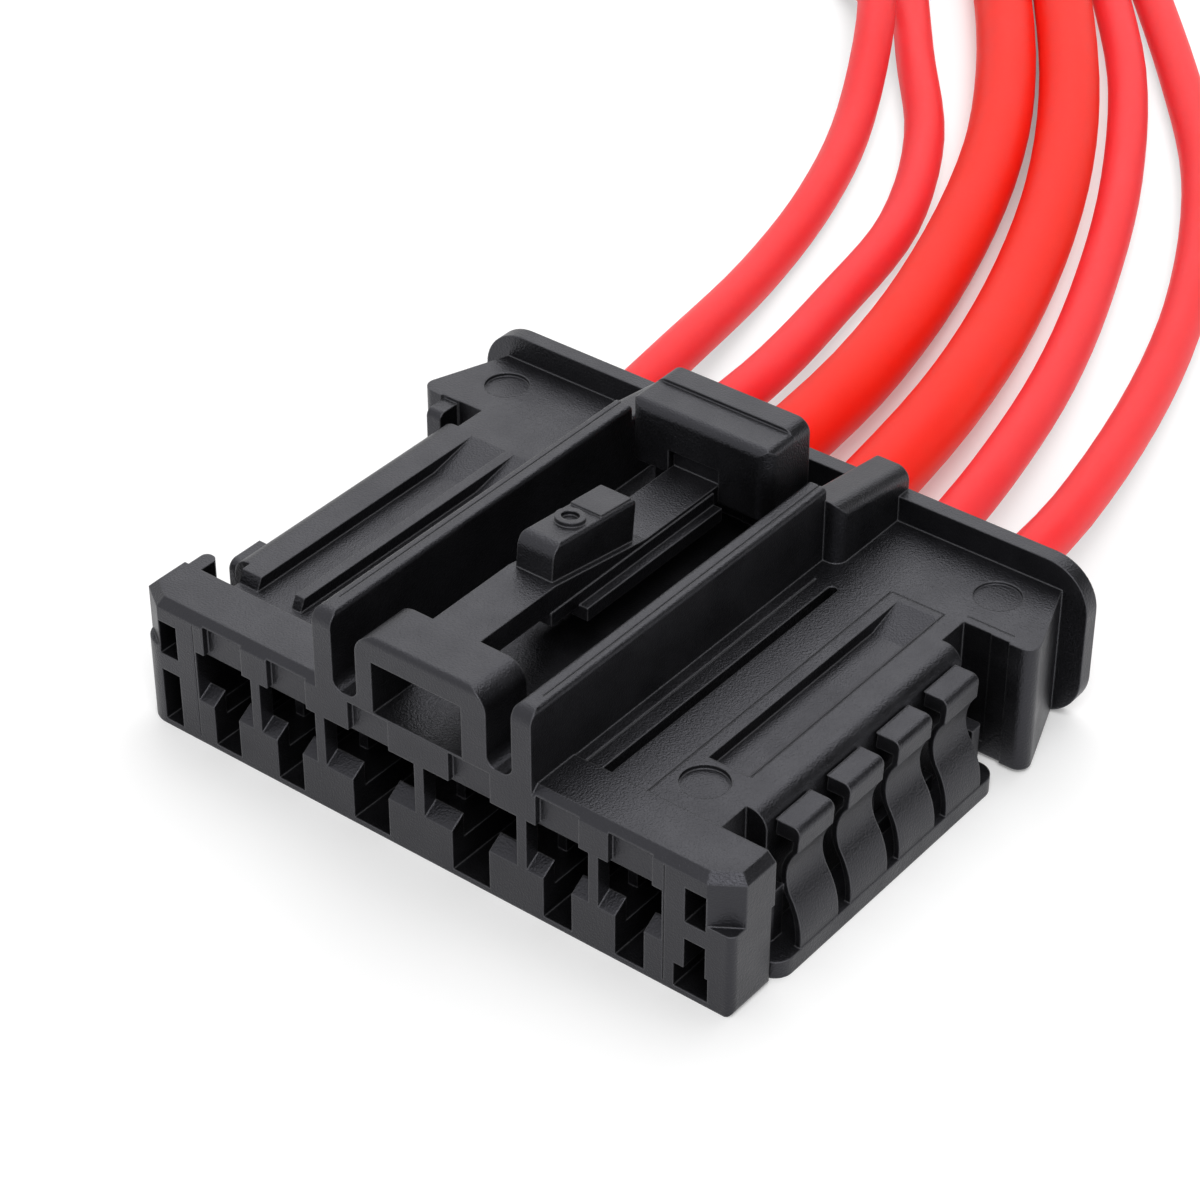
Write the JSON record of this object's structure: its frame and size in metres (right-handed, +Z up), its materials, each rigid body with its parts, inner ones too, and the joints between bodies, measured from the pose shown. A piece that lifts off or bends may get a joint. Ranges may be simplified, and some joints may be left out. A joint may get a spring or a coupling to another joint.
{
  "type": "tail light connector",
  "caption": "Black moulded socket connector for a vehicle tail light, with a sprung latch arm, a comb-shaped secondary lock and red wire pigtails.",
  "frame": {"origin": "middle of the connector's footprint on the surface it lies on, wires left out", "axes": "+X along the row of cells toward the secondary lock, +Y from the mating face toward the wires, +Z up out of the latch side"},
  "size_m": [0.0779, 0.1267, 0.0167],
  "materials": {
    "black_plastic": "fine eroded grain",
    "lock_plastic": "fine eroded grain",
    "tinned_brass": "satin stamped sheet",
    "red_insulation": "satin extruded insulation",
    "copper_strands": "bare strands"
  },
  "bodies": {
    "housing_body": {"housing": "black_plastic", "contact_1": "tinned_brass", "contact_2": "tinned_brass", "contact_3": "tinned_brass", "contact_4": "tinned_brass", "contact_5": "tinned_brass", "contact_6": "tinned_brass", "wire_1": "red_insulation", "wire_2": "red_insulation", "wire_3": "red_insulation", "wire_4": "red_insulation", "wire_5": "red_insulation", "wire_6": "red_insulation", "wire_tip_1": "copper_strands", "wire_tip_2": "copper_strands", "wire_tip_3": "copper_strands", "wire_tip_4": "copper_strands", "wire_tip_5": "copper_strands", "wire_tip_6": "copper_strands"},
    "lock_body": {"secondary_lock": "lock_plastic"}
  },
  "joints": [
    {"name": "lock_slide", "type": "slide", "parent": "housing_body", "child": "lock_body", "axis": [1, 0, 0], "range_m": [0, 0.0022]}
  ]
}
